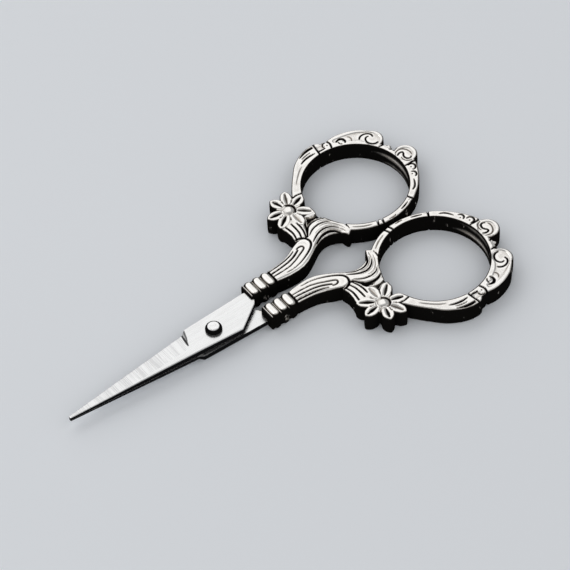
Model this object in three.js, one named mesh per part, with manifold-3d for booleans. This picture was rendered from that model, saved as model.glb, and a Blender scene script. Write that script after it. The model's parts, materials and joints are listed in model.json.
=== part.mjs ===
// Embroidery scissors: two steel blades with their tangs held in cast scrollwork handles,
// turning on one domed rivet. The two halves are the same shape, one turned over.
import * as THREE from 'three';
import { ConvexGeometry } from 'three/addons/geometries/ConvexGeometry.js';
import { mergeVertices } from 'three/addons/utils/BufferGeometryUtils.js';
import Module from 'manifold-3d';

const wasm = await Module();
wasm.setup();

// Sizes are in millimetres. The rivet's axis is the origin, the tips point along -X, the
// half described here has its handle on +Y, and Z counts from the face where the blades meet.
const castingThickness = 4.1;

// Blade
const bladeReach = 32.4; // rivet to tip
const bladeThickness = 1.2;
const bladeGap = 0.06; // between the two blades
const tipThickness = 0.55;
const tipWidth = 0.76;
const heelBack = 4.3; // rivet to the heel corner
const heelDepth = 3.4;
const shoulderLow = 0.55; // the shoulder that stops against the collar
const shoulderHigh = 3.85;
const ricassoFront = 4.6; // rivet to the notch where the grinding starts
const ricassoHigh = 3.35;
const notchStep = 0.55; // the ground edge lies this far below the ricasso's
const grindRun = 1.5; // the notch leans forward by this much
const grindDrop = 0.3;
const grindLow = -0.6;
const edgeBevel = 0.12;
const edgeHeight = 0.5;

// Tang inside the handle
const tangEnd = 21;
const tangRootLow = 2.1;
const tangRootHigh = 3.75;
const tangEndLow = 3.2;
const tangEndHigh = 4.3;
const tangKeyX = 17;
const tangKeyRadius = 0.45;
const socketClearance = 0.08;

// Rivet
const rivetRadius = 1.05;
const rivetClearance = 0.04;
const rivetHeadRadius = 1.64;
const rivetHeadHeight = 1.03;
const rivetRim = 0.35;
const rivetTailHeight = 0.5;
const headClearance = 0.03;

// Collar
const collarFront = 9.6;
const lipLength = 0.75;
const bandCount = 3;
const bandPitch = 1.92;
const bandLength = 1.55;
const collarMiddle = 3.3;
const collarHalf = 2.35;
const bandSwell = 0.32;
const coreInset = 0.42;

// Finger hole and what stands round it
const holeX = 43.1;
const holeRadius = 10.75;
const slimWidth = 1.3;
const ringGap = 0.9; // between the two rings when closed
const holeY = ringGap / 2 + slimWidth + holeRadius;
const volute = { angle: 37.5, out: 1.95, radius: 2.3 };
const curl = { angle: 1.8, out: 2.3, radius: 2.3 };
const strokeHalf = 0.26;
const strokeDepth = 0.42;
const ribTop = 2.3; // ribs reach past the casting's faces, which are polished flat
const webTop = 1.35;

// Flower
const flowerX = 28.6;
const flowerY = 15;
const petalAngles = [20, 66, 109, 172, 215, 268, 318];
const petalTip = 4.8;
const petalRoot = 0.9;
const petalHalf = 1.08;
const bossRadius = 1.2;

const steel = { color: 0xd9dde0, metalness: 1, roughness: 0.3 };
const silver = { color: 0xcfc9bf, metalness: 1, roughness: 0.26 };
const polished = { color: 0xdadada, metalness: 1, roughness: 0.15 };

// Turns a three.js geometry into a solid for cutting and joining.
function solid(geometry) {
  geometry.deleteAttribute('normal');
  geometry.deleteAttribute('uv');
  const welded = mergeVertices(geometry, 1e-5);
  return new wasm.Manifold(new wasm.Mesh({
    numProp: 3,
    vertProperties: new Float32Array(welded.attributes.position.array),
    triVerts: new Uint32Array(welded.index.array),
  }));
}

function joined(solids) {
  return solids.reduce((whole, next) => whole.add(next));
}

function mesh(name, body, look) {
  const result = body.getMesh();
  const geometry = new THREE.BufferGeometry();
  geometry.setAttribute('position', new THREE.BufferAttribute(result.vertProperties, 3));
  geometry.setIndex(new THREE.BufferAttribute(result.triVerts, 1));
  const object = new THREE.Mesh(geometry, new THREE.MeshStandardMaterial(look));
  object.name = name;
  return object;
}

function point(x, y) {
  return new THREE.Vector2(x, y);
}

function radians(degrees) {
  return THREE.MathUtils.degToRad(degrees);
}

// A point seen from the middle of the finger hole.
function roundHole(angle, radius) {
  return point(holeX + radius * Math.cos(radians(angle)), holeY + radius * Math.sin(radians(angle)));
}

// Closes a row of rings, all with the same number of points, into one skin with flat ends.
function skin(rings) {
  const count = rings[0].length;
  const last = (rings.length - 1) * count;
  const index = [];
  for (let i = 0; i < last; i += count) {
    for (let k = 0; k < count; k += 1) {
      const next = (k + 1) % count;
      index.push(i + k, i + next, i + next + count);
      index.push(i + k, i + next + count, i + k + count);
    }
  }
  for (let k = 1; k + 1 < count; k += 1) {
    index.push(0, k + 1, k);
    index.push(last, last + k, last + k + 1);
  }
  const geometry = new THREE.BufferGeometry();
  geometry.setFromPoints(rings.flat());
  geometry.setIndex(index);
  return solid(geometry);
}

// Value at a share of the way along a list of evenly spread values.
function along(values, share) {
  const place = Math.min(share, 0.999999) * (values.length - 1);
  const step = Math.floor(place);
  return THREE.MathUtils.lerp(values[step], values[step + 1], place - step);
}

// A rounded-off section as unit steps across and up, with facets all round it.
function section(facets, start, softness) {
  const bend = (value) => Math.sign(value) * Math.abs(value) ** softness;
  const steps = [];
  for (let k = 0; k < facets; k += 1) {
    const turn = (2 * Math.PI * (k + start)) / facets;
    steps.push([bend(Math.cos(turn)), bend(Math.sin(turn))]);
  }
  return steps;
}

const fullSection = section(8, 0.5, 0.6);
const leafSection = section(6, 0, 0.6);
const grooveSection = section(4, 0, 1);
const collarSection = section(12, 0.5, 0.55);

// A rib that follows a smooth path through points in plan. halves lists its half-width on
// the way; middle is the height of its centre line.
function rib(path, halves, steps, shape = leafSection, top = ribTop, middle = 0) {
  const curve = new THREE.SplineCurve(path);
  const rings = [];
  for (let i = 0; i <= steps; i += 1) {
    const centre = curve.getPointAt(i / steps);
    const ahead = curve.getTangentAt(i / steps);
    const half = along(halves, i / steps);
    rings.push(shape.map(([across, rise]) => new THREE.Vector3(
      centre.x - half * across * ahead.y,
      centre.y + half * across * ahead.x,
      middle + top * rise,
    )));
  }
  return skin(rings);
}

// A groove drawn on both faces of the casting, thin at its ends.
function strokes(path, steps) {
  const taper = [0.3 * strokeHalf, strokeHalf, strokeHalf, strokeHalf, 0.3 * strokeHalf];
  const face = castingThickness / 2;
  return joined([face, -face].map((level) => rib(path, taper, steps, grooveSection, strokeDepth, level)));
}

// A limb of the ring: stations of angle and width, all with their inner side on the finger hole.
function limb(stations, steps, shape = fullSection) {
  const bite = 0.25; // into the hole, which is cut afterwards
  const path = stations.map(([angle, width]) => roundHole(angle, holeRadius + (width - bite) / 2));
  const halves = stations.map((station) => (station[1] + bite) / 2);
  return rib(path, halves, steps, shape);
}

// A flat plate with a given outline, as thick as the casting's webs or as told.
function plate(outline, low, high) {
  const geometry = new THREE.ExtrudeGeometry(new THREE.Shape(outline), {
    depth: high - low,
    bevelEnabled: false,
  });
  geometry.translate(0, 0, low);
  return solid(geometry);
}

// A round post standing through the casting with its edges rounded off.
function disc(centre, radius, top) {
  const round = 0.3;
  const profile = [
    point(0, -top),
    point(radius - round, -top),
    point(radius, round - top),
    point(radius, top - round),
    point(radius - round, top),
    point(0, top),
  ];
  const geometry = new THREE.LatheGeometry(profile, 16);
  geometry.rotateX(Math.PI / 2);
  geometry.translate(centre.x, centre.y, 0);
  return solid(geometry);
}

// A dome on each face of the casting.
function pearls(centre, radius, level) {
  return joined([level, -level].map((height) => {
    const geometry = new THREE.SphereGeometry(radius, 6, 4);
    geometry.translate(centre.x, centre.y, height);
    return solid(geometry);
  }));
}

function hull(corners) {
  return solid(new ConvexGeometry(corners.map((corner) => new THREE.Vector3(...corner))));
}

// The three swelled bands, the lip ahead of them and the core that joins them.
function collar() {
  const ring = (x, inset) => collarSection.map(([across, rise]) => new THREE.Vector3(
    x,
    collarMiddle + across * (collarHalf - inset),
    rise * (ribTop - inset),
  ));
  const firstBand = collarFront + lipLength;
  const rear = firstBand + bandCount * bandPitch;
  const pieces = [skin([ring(collarFront, coreInset), ring(rear, coreInset)])];
  const lipInset = coreInset / 2;
  pieces.push(skin([ring(collarFront, lipInset), ring(collarFront + lipLength / 2, lipInset)]));
  for (let i = 0; i < bandCount; i += 1) {
    const start = firstBand + i * bandPitch;
    pieces.push(skin([
      ring(start, bandSwell),
      ring(start + bandLength * 0.22, bandSwell * 0.3),
      ring(start + bandLength * 0.5, 0),
      ring(start + bandLength * 0.78, bandSwell * 0.3),
      ring(start + bandLength, bandSwell),
    ]));
  }
  return joined(pieces);
}

// The fluted shank that ends in a round bud, with its hairpin groove.
function shank() {
  const rear = collarFront + lipLength + bandCount * bandPitch - 0.4;
  const bud = rib(
    [point(rear, 4), point(19, 4.05), point(22, 4.65), point(24.2, 5.5), point(25.9, 6.25), point(26.9, 6.6)],
    [1.6, 1.65, 1.72, 1.72, 1.45, 0.5],
    9,
    fullSection,
  );
  const inner = rib(
    [point(rear, 2.25), point(19, 2.05), point(22, 2.55), point(24.5, 3.5), point(27, 5)],
    [0.85, 0.8, 0.9, 1, 0.9],
    6,
    fullSection,
  );
  const grooves = [
    strokes([point(rear, 5.05), point(20, 5.15), point(23, 6), point(25, 6.75)], 4),
    strokes([point(rear, 4.3), point(20, 4.4), point(23, 5.25), point(24.6, 5.95)], 4),
    strokes([point(rear, 2.75), point(20, 2.75), point(23, 3.5), point(25.5, 4.6)], 4),
  ];
  return joined([bud, inner]).subtract(joined(grooves));
}

// Leaves that spring from the shank, arch over and meet in a cusp under the finger hole.
function leafSpray() {
  const cusp = (out, angle) => roundHole(angle, holeRadius + out);
  const leaves = [
    rib([point(28.3, 8.9), point(29.5, 9.85), point(31, 10.25), point(32.4, 9.85), cusp(0.2, 204)],
      [0.32, 0.36, 0.4, 0.36, 0.2], 6),
    rib([point(27.2, 6.6), point(28.7, 8), point(30.8, 8.9), point(32.4, 8.25), cusp(0.5, 221)],
      [0.55, 0.6, 0.55, 0.5, 0.4], 7),
    rib([point(26.8, 5.4), point(28.7, 6.8), point(30.8, 7.6), point(32.4, 6.95), cusp(1.3, 225)],
      [0.5, 0.6, 0.6, 0.5, 0.4], 7),
    rib([point(24.5, 3.6), point(27, 5), point(30.7, 6.3), point(32.4, 5.75), cusp(2, 227)],
      [0.4, 0.5, 0.45, 0.42, 0.3], 8),
    rib([point(23.5, 2.6), point(26.2, 3.9), point(30.6, 5.3), point(32.2, 4.85), cusp(2.5, 224)],
      [0.4, 0.42, 0.4, 0.34, 0.2], 8),
  ];
  const web = plate(
    [point(25.5, 4.4), point(29, 5.2), point(31.5, 5.3), cusp(2.1, 226), cusp(0.2, 221),
      cusp(-0.2, 200), point(31, 10.2), point(28.5, 9)],
    -webTop,
    webTop,
  );
  return joined([...leaves, web]);
}

// Stems between the bud and the flower, on a thin web.
function stems() {
  const feet = [24.95, 25.85, 26.9];
  const heads = [24.75, 26.2, 27.3];
  const ribs = feet.map((foot, i) => rib(
    [point(foot, 7), point(foot + 0.1, 9.4), point(heads[i], flowerY - 2.6)],
    [0.32, 0.34, 0.36],
    2,
  ));
  ribs.push(rib([point(27.2, 6.4), point(27.9, 8.7), point(28.3, flowerY - 4.4)], [0.45, 0.42, 0.4], 2));
  const web = plate(
    [point(24.8, 6.6), point(28.4, 8), point(28.6, flowerY - 3), point(24.8, flowerY - 2.4)],
    -webTop,
    webTop,
  );
  return joined([...ribs, web]);
}

// One pointed petal along +X with a hollow down its middle on both faces.
function petal() {
  const outline = new THREE.Shape();
  const round = 0.28;
  const half = petalHalf - round;
  const tip = petalTip - round;
  outline.moveTo(petalRoot, -half * 0.55);
  outline.quadraticCurveTo(petalTip * 0.72, -half * 1.75, tip, 0);
  outline.quadraticCurveTo(petalTip * 0.72, half * 1.75, petalRoot, half * 0.55);
  const body = new THREE.ExtrudeGeometry(outline, {
    depth: 2 * (ribTop - round),
    curveSegments: 3,
    bevelThickness: round,
    bevelSize: round,
    bevelSegments: 1,
  });
  body.translate(0, 0, round - ribTop);
  const hollows = [1, -1].map((face) => {
    const cut = new THREE.SphereGeometry(1, 6, 4);
    cut.scale(petalTip * 0.27, petalHalf * 0.42, 0.75);
    cut.translate(petalTip * 0.62, 0, (face * castingThickness) / 2);
    return solid(cut);
  });
  return solid(body).subtract(joined(hollows));
}

function flower() {
  const one = petal();
  const petals = petalAngles.map((angle) => one.rotate([0, 0, angle]));
  const boss = new THREE.SphereGeometry(bossRadius, 8, 6);
  const bosses = [1, -1].map((face) => {
    const dome = boss.clone();
    dome.translate(0, 0, face * (castingThickness / 2 - bossRadius * 0.7));
    return solid(dome);
  });
  const core = disc(point(0, 0), petalTip * 0.5, webTop);
  return joined([...petals, ...bosses, core]).translate([flowerX, flowerY, 0]);
}

// The two scrolls at the far side of the ring and the leaf between them.
function scrolls() {
  const eye = roundHole(volute.angle, holeRadius + volute.out);
  const end = roundHole(curl.angle, holeRadius + curl.out);
  const band = limb([[79, 2.6], [69, 3.05], [60, 3.5], [51, 3.9], [43, 4.05]], 5);
  const body = joined([
    band,
    disc(eye, volute.radius, ribTop),
    disc(end, curl.radius, ribTop),
    pearls(roundHole(20, holeRadius + 1.25), 0.95, castingThickness / 2 - 0.75),
  ]);
  const swirl = (centre, radius, start, turns) => {
    const path = [];
    for (let i = 0; i <= 8; i += 1) {
      const turn = radians(start - (turns * 360 * i) / 8);
      const reach = radius * THREE.MathUtils.lerp(0.78, 0.34, i / 8);
      path.push(point(centre.x + reach * Math.cos(turn), centre.y + reach * Math.sin(turn)));
    }
    return strokes(path, 9);
  };
  const cuts = [
    swirl(eye, volute.radius, 150, 1.2),
    swirl(end, curl.radius, 165, 1.2),
    pearls(roundHole(66.5, holeRadius + 1.35), 0.75, castingThickness / 2),
    strokes([roundHole(56, holeRadius + 2.2), roundHole(57, holeRadius + 1.2), roundHole(59, holeRadius + 0.5)], 3),
  ];
  const pearl = pearls(roundHole(65.5, holeRadius + 1.2), 0.5, castingThickness / 2 - 0.3);
  return body.subtract(joined(cuts)).add(pearl);
}

// The rest of the ring: leaf-cut limb, knuckle and slim limbs, with beads at their joints.
function ringLimbs() {
  const leaf = limb([[154, 2.4], [145, 1.8], [131, 1.95], [118, 2.6], [106, 3.1], [94, 3.15], [91.5, 3.05]], 8);
  const knuckle = limb([[93, 2.2], [85, 2.4], [77.5, 2.3]], 3);
  const side = limb([[30, 1.1], [14, 1.05], [-6, 1.05], [-20, 1.3]], 5, leafSection);
  const lower = limb([[-8, 2.8], [-14, 2.55], [-22, 2.3], [-31, 1.95], [-43, 1.65], [-56.5, 1.45]], 6);
  const slim = limb([[-55.5, slimWidth], [-70, slimWidth], [-85, slimWidth], [-98, slimWidth]], 5, leafSection);
  const root = limb([[-97, slimWidth], [-112, 1.35], [-127, 1.5], [-139, 1.7]], 5, leafSection);
  const slits = [
    strokes([roundHole(124, holeRadius + 1.2), roundHole(110, holeRadius + 1), roundHole(97, holeRadius + 0.9)], 3),
    strokes([roundHole(116, holeRadius + 1.9), roundHole(105, holeRadius + 2.1), roundHole(96, holeRadius + 2.3)], 3),
    strokes([roundHole(-33, holeRadius + 1.1), roundHole(-42, holeRadius + 0.9), roundHole(-51, holeRadius + 0.8)], 3),
    strokes([roundHole(-61, holeRadius + 0.6), roundHole(-75, holeRadius + 0.6), roundHole(-91, holeRadius + 0.6)], 4),
    strokes([roundHole(-101, holeRadius + 0.7), roundHole(-114, holeRadius + 0.7), roundHole(-128, holeRadius + 0.7)], 3),
  ];
  const beads = [
    pearls(roundHole(-97.5, holeRadius + 0.65), 0.62, castingThickness / 2 - 0.45),
    pearls(roundHole(-16.5, holeRadius + 1.15), 0.6, castingThickness / 2 - 0.35),
    pearls(roundHole(-26, holeRadius + 1.1), 0.55, castingThickness / 2 - 0.35),
    pearls(roundHole(81, holeRadius + 1), 0.6, castingThickness / 2 - 0.35),
  ];
  return joined([leaf, knuckle, side, lower, slim, root]).subtract(joined(slits)).add(joined(beads));
}

// Height of one edge of the tapered tang, at a distance along it.
function tangEdge(root, end, x) {
  return THREE.MathUtils.mapLinear(x, collarFront, tangEnd, root, end);
}

// The tang's plan, grown by a clearance for its socket.
function tangOutline(start, grow) {
  const end = tangEnd + grow;
  return [
    point(start, tangEdge(tangRootLow, tangEndLow, start) - grow),
    point(end, tangEdge(tangRootLow, tangEndLow, end) - grow),
    point(end, tangEdge(tangRootHigh, tangEndHigh, end) + grow),
    point(start, tangEdge(tangRootHigh, tangEndHigh, start) + grow),
  ];
}

function roundPost(x, radius, low, high) {
  const geometry = new THREE.CylinderGeometry(radius, radius, high - low, 20);
  geometry.rotateX(Math.PI / 2);
  geometry.translate(x, 0, (low + high) / 2);
  return solid(geometry);
}

// Middle of the tang at its key hole.
function tangKeyY() {
  const low = tangEdge(tangRootLow, tangEndLow, tangKeyX);
  return (low + tangEdge(tangRootHigh, tangEndHigh, tangKeyX)) / 2;
}

// The whole casting: joined, polished flat on both faces, then bored for finger and tang.
function handle() {
  const face = castingThickness / 2;
  const rough = joined([collar(), shank(), leafSpray(), stems(), flower(), ringLimbs(), scrolls()]);
  const far = 2 * (holeX + holeRadius);
  const slab = plate([point(-far, -far), point(far, -far), point(far, far), point(-far, far)], -face, face);
  const bore = new THREE.CylinderGeometry(holeRadius, holeRadius, 3 * castingThickness, 44);
  bore.rotateX(Math.PI / 2);
  bore.translate(holeX, holeY, 0);
  const low = bladeGap / 2 - socketClearance;
  const high = bladeGap / 2 + bladeThickness + socketClearance;
  const key = roundPost(tangKeyX, tangKeyRadius - socketClearance, low, high).translate([0, tangKeyY(), 0]);
  const socket = plate(tangOutline(collarFront - 1, socketClearance), low, high).subtract(key);
  return rough.intersect(slab).subtract(solid(bore)).subtract(socket);
}

// Height of a blade's outer face, which thins from the notch to the tip.
function outerFace(x) {
  const share = Math.max(0, (-ricassoFront - x) / (bladeReach - ricassoFront));
  return bladeGap / 2 + THREE.MathUtils.lerp(bladeThickness, tipThickness, share);
}

// Wedge that thins the blade toward the tip.
function tipTaper() {
  const wide = 3 * heelDepth;
  const ahead = -bladeReach - 4;
  const corners = [];
  for (const y of [-wide, wide]) {
    corners.push([-ricassoFront, y, outerFace(-ricassoFront)]);
    corners.push([-ricassoFront, y, 2 * bladeThickness]);
    corners.push([ahead, y, outerFace(ahead)]);
    corners.push([ahead, y, 2 * bladeThickness]);
  }
  return hull(corners);
}

// Grinding along the cutting edge, from a leaning notch beside the rivet to the tip.
function grinding() {
  const rear = -ricassoFront - grindRun;
  const high = ricassoHigh + 1;
  const over = 2 * bladeThickness;
  const tipDrop = outerFace(-bladeReach) - tipThickness * 0.35;
  return hull([
    [rear, grindLow, outerFace(rear)],
    [-bladeReach, -tipWidth / 4, outerFace(-bladeReach)],
    [-ricassoFront - notchStep, high, outerFace(-ricassoFront) - grindDrop * 1.35],
    [-bladeReach, high, tipDrop],
    [rear, grindLow, over],
    [-bladeReach, -tipWidth / 4, over],
    [-ricassoFront + 0.3, high, over],
    [-bladeReach, high, over],
  ]);
}

// The narrow bevel that makes the cutting edge.
function sharpening() {
  const rear = -ricassoFront - notchStep;
  const edge = ricassoHigh - notchStep;
  const low = bladeGap / 2;
  return hull([
    [rear, edge, low],
    [-bladeReach, tipWidth / 2, low],
    [rear, edge - edgeBevel, low + edgeHeight],
    [-bladeReach, tipWidth / 2 - edgeBevel, low + edgeHeight],
    [rear, edge + 1, low],
    [-bladeReach, tipWidth / 2 + 1, low],
    [rear, edge + 1, low + edgeHeight],
    [-bladeReach, tipWidth / 2 + 1, low + edgeHeight],
  ]);
}

// One blade with its ricasso, heel and tang.
function blade() {
  const shoulder = collarFront - socketClearance;
  const outline = [
    point(-bladeReach, -tipWidth / 2),
    point(heelBack, -heelDepth),
    point(shoulder, shoulderLow),
    ...tangOutline(shoulder, 0),
    point(shoulder, shoulderHigh),
    point(-ricassoFront, ricassoHigh),
    point(-ricassoFront - notchStep, ricassoHigh - notchStep),
    point(-bladeReach, tipWidth / 2),
  ];
  const low = bladeGap / 2;
  const high = low + bladeThickness;
  const key = roundPost(tangKeyX, tangKeyRadius, -high, 2 * high).translate([0, tangKeyY(), 0]);
  const hole = roundPost(0, rivetRadius + rivetClearance, -high, 2 * high);
  return plate(outline, low, high)
    .subtract(tipTaper())
    .subtract(grinding())
    .subtract(sharpening())
    .subtract(key)
    .subtract(hole);
}

// Domed head, shank and spread tail, turned in one piece.
function rivet() {
  const seat = bladeGap / 2 + bladeThickness + headClearance;
  const profile = [point(0, -seat - rivetTailHeight)];
  const arc = (base, height, first, last) => {
    for (let i = first; i !== last; i += Math.sign(last - first)) {
      const turn = (Math.PI / 2) * (i / 4);
      profile.push(point(rivetHeadRadius * Math.cos(turn), base + height * Math.sin(turn)));
    }
  };
  arc(-seat - rivetTailHeight * 0.2, -rivetTailHeight * 0.8, 3, -1);
  profile.push(point(rivetHeadRadius, -seat), point(rivetRadius, -seat));
  profile.push(point(rivetRadius, seat), point(rivetHeadRadius, seat));
  arc(seat + rivetRim, rivetHeadHeight - rivetRim, 0, 4);
  profile.push(point(0, seat + rivetHeadHeight));
  const geometry = new THREE.LatheGeometry(profile, 24);
  geometry.rotateX(Math.PI / 2);
  return solid(geometry);
}

const curlEnd = roundHole(curl.angle, holeRadius + curl.out).x + curl.radius;
const bladeBody = blade();
const handleBody = handle();

const scissors = new THREE.Group();
scissors.name = 'embroidery_scissors';
scissors.position.set((bladeReach - curlEnd) / 2, 0, castingThickness / 2);

const upperHalf = new THREE.Group();
upperHalf.name = 'upper_half';
upperHalf.add(mesh('upper_blade', bladeBody, steel));
upperHalf.add(mesh('upper_handle', handleBody, silver));

const lowerHalf = new THREE.Group();
lowerHalf.name = 'lower_half';
lowerHalf.rotation.x = Math.PI;
lowerHalf.add(mesh('lower_blade', bladeBody, steel));
lowerHalf.add(mesh('lower_handle', handleBody, silver));

scissors.add(upperHalf, lowerHalf, mesh('pivot_rivet', rivet(), polished));

const part = new THREE.Group();
part.name = 'part';
part.add(scissors);

export default part;
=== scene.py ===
import json
from math import cos, pi, radians, sin

import bpy
import numpy as np
from mathutils import Matrix, Vector


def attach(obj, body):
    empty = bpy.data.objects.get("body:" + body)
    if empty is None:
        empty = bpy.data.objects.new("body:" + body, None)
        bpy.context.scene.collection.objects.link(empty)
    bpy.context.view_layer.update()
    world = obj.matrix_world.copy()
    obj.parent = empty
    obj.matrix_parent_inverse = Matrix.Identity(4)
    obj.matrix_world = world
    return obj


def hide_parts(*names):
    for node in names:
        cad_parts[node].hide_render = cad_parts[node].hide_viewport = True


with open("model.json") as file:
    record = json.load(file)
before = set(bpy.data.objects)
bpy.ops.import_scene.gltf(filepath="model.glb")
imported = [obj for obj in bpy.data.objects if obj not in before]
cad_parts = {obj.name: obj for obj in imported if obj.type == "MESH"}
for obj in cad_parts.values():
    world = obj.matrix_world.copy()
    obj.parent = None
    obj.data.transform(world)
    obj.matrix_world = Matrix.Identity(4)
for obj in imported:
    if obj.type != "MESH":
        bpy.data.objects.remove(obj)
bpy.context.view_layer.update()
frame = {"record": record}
mm = 0.001
pivot = Vector(frame["record"]["behaviour"]["joints"][0]["pos_m"])
print("frame loaded, rivet axis at", [round(v, 5) for v in pivot])


# a socket that takes part in Python sums; each operator adds a Math node
class Wire:
    def __init__(self, finish, socket):
        self.finish, self.socket = finish, socket

    def math(self, operation, *values):
        return self.finish.node("ShaderNodeMath", {"operation": operation}, list(values))

    def __add__(self, other):
        return self.math("ADD", self, other)

    def __sub__(self, other):
        return self.math("SUBTRACT", self, other)

    def __rsub__(self, other):
        return self.math("SUBTRACT", other, self)

    def __mul__(self, other):
        return self.math("MULTIPLY", self, other)

    __radd__ = __add__
    __rmul__ = __mul__

    def larger(self, other):
        return self.math("MAXIMUM", self, other)

    def ramp(self, low, high):
        sockets = {"Value": self, "From Min": low, "From Max": high}
        return self.finish.node("ShaderNodeMapRange", {"interpolation_type": "SMOOTHSTEP"}, sockets)

    def out(self, name):
        return Wire(self.finish, self.socket.node.outputs[name])


# one node material, fed into the shader that it starts with
class Finish:
    def __init__(self, name):
        self.material = bpy.data.materials.new(name)
        self.material.use_nodes = True
        self.tree = self.material.node_tree
        self.shader = self.tree.nodes["Principled BSDF"]

    def node(self, kind, settings=None, sockets=None):
        made = self.tree.nodes.new(kind)
        for key, value in (settings or {}).items():
            setattr(made, key, value)
        pairs = enumerate(sockets) if isinstance(sockets, list) else (sockets or {}).items()
        for key, value in pairs:
            self.plug(made.inputs[key], value)
        return Wire(self, next(s for s in made.outputs if s.enabled))

    def plug(self, target, value):
        if isinstance(value, Wire):
            self.tree.links.new(value.socket, target)
        elif isinstance(value, tuple) and len(value) == 3 and target.type == "RGBA":
            target.default_value = (*value, 1)
        else:
            target.default_value = value

    def mix(self, share, first, second):
        sockets = {0: share, 6: first, 7: second}  # factor and the two colours
        return self.node("ShaderNodeMix", {"data_type": "RGBA"}, sockets)

    def place(self, stretch=(1, 1, 1), turn=(0, 0, 0)):
        spot = self.node("ShaderNodeTexCoord").out("Object")
        return self.node("ShaderNodeMapping", None, {"Vector": spot, "Scale": stretch, "Rotation": turn})

    def noise(self, place, scale, detail, rough=0.55):
        sockets = {"Vector": place, "Scale": scale, "Detail": detail, "Roughness": rough}
        return self.node("ShaderNodeTexNoise", None, sockets)

    def attribute(self, name):
        return self.node("ShaderNodeAttribute", {"attribute_name": name}).out("Fac")

    def bump(self, height, strength, distance):
        sockets = {"Height": height, "Strength": strength, "Distance": distance}
        return self.node("ShaderNodeBump", None, sockets)

    def wear(self, **sockets):
        for name, value in sockets.items():
            self.plug(self.shader.inputs[name.replace("_", " ")], value)
        return self.material


# 0 at low and 1 at high, and falling where low is the larger
def rising(value, low, high):
    return np.clip((value - low) / (high - low), 0, 1)


def smooth(share):
    return share * share * (3 - 2 * share)


def between(value, pairs):
    return np.interp(value, *zip(*pairs))


def polar(centre, reach, angle):
    return centre[0] + reach * cos(radians(angle)), centre[1] + reach * sin(radians(angle))


def smoothPath(points, steps=8):
    p = np.array(points, float)
    if len(p) == 2:
        return np.linspace(p[0], p[1], steps + 1)
    ends = np.vstack([2 * p[0] - p[1], p, 2 * p[-1] - p[-2]])
    run = []
    for k in range(1, len(ends) - 2):
        a, b, c, d = ends[k - 1:k + 3]
        first, second, third = c - a, 2 * a - 5 * b + 4 * c - d, 3 * b - a - 3 * c + d
        for t in np.linspace(0, 1, steps, endpoint=False):
            run.append(0.5 * (2 * b + first * t + second * t ** 2 + third * t ** 3))
    return np.array(run + [p[-1]])


def soften(field, reach, passes=2):
    for _ in range(passes):
        for axis in (0, 1):
            total = sum(np.roll(field, shift, axis) for shift in range(-reach, reach + 1))
            field = total / (2 * reach + 1)
    return field


# finger hole of the half whose handle lies on +Y; millimetres from the rivet axis, as in all the reliefs
fingerHole = {"centre": (43.1, 12.5), "radius": 10.75}


def ring(angle, out):
    return polar(fingerHole["centre"], fingerHole["radius"] + out, angle)


reliefSettings = {
    "far": 99.0, "pathMargin": 0.35, "plateMargin": 0.4,  # how much of the grid is worked round a form
    "skirt": 0.3, "bowReach": 1.2,
    "bite": 0.2,  # a limb's reach into the finger hole, which is bored later
    "cushion": {"nick": 0.5, "rounding": 0.66, "drop": 0.62, "squeeze": 1.09, "powers": (2.8, 2.6),
                "dark": (0.74, 0.96), "reach": (1.06, 1.1)},
    "shoulderReach": 3.6, "line": (1.5, 0.9),  # in half widths of a groove
    "hollow": 0.8, "lineEnds": 1.6,
    "beadClear": (0.75, 0.95), "dotEdge": (1.5, 0.5),  # shares of the bead's and the dot's radius
    "lowest": 0.3, "darkest": 0.95, "lowGround": (1.42, 1.17), "outline": (0.2, 0.1),  # painted shade on low ground and a painted dark rim along each outline
    "around": 5, "leastAround": 0.05,  # cells on each side that make up a point's surroundings
    "rubReach": 0.5, "rub": 0.09,  # outer rims are rubbed bright, which also takes them out of the painted shade
    "rimPasses": 4, "rimShift": 0.85, "leastSlope": 0.2, "evenPasses": 3,
    "wallRows": ((0.14, 0.6), (0.36, 0.95), (0.64, 0.95), (0.86, 0.6)),  # shares of height and draft
}


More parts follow.
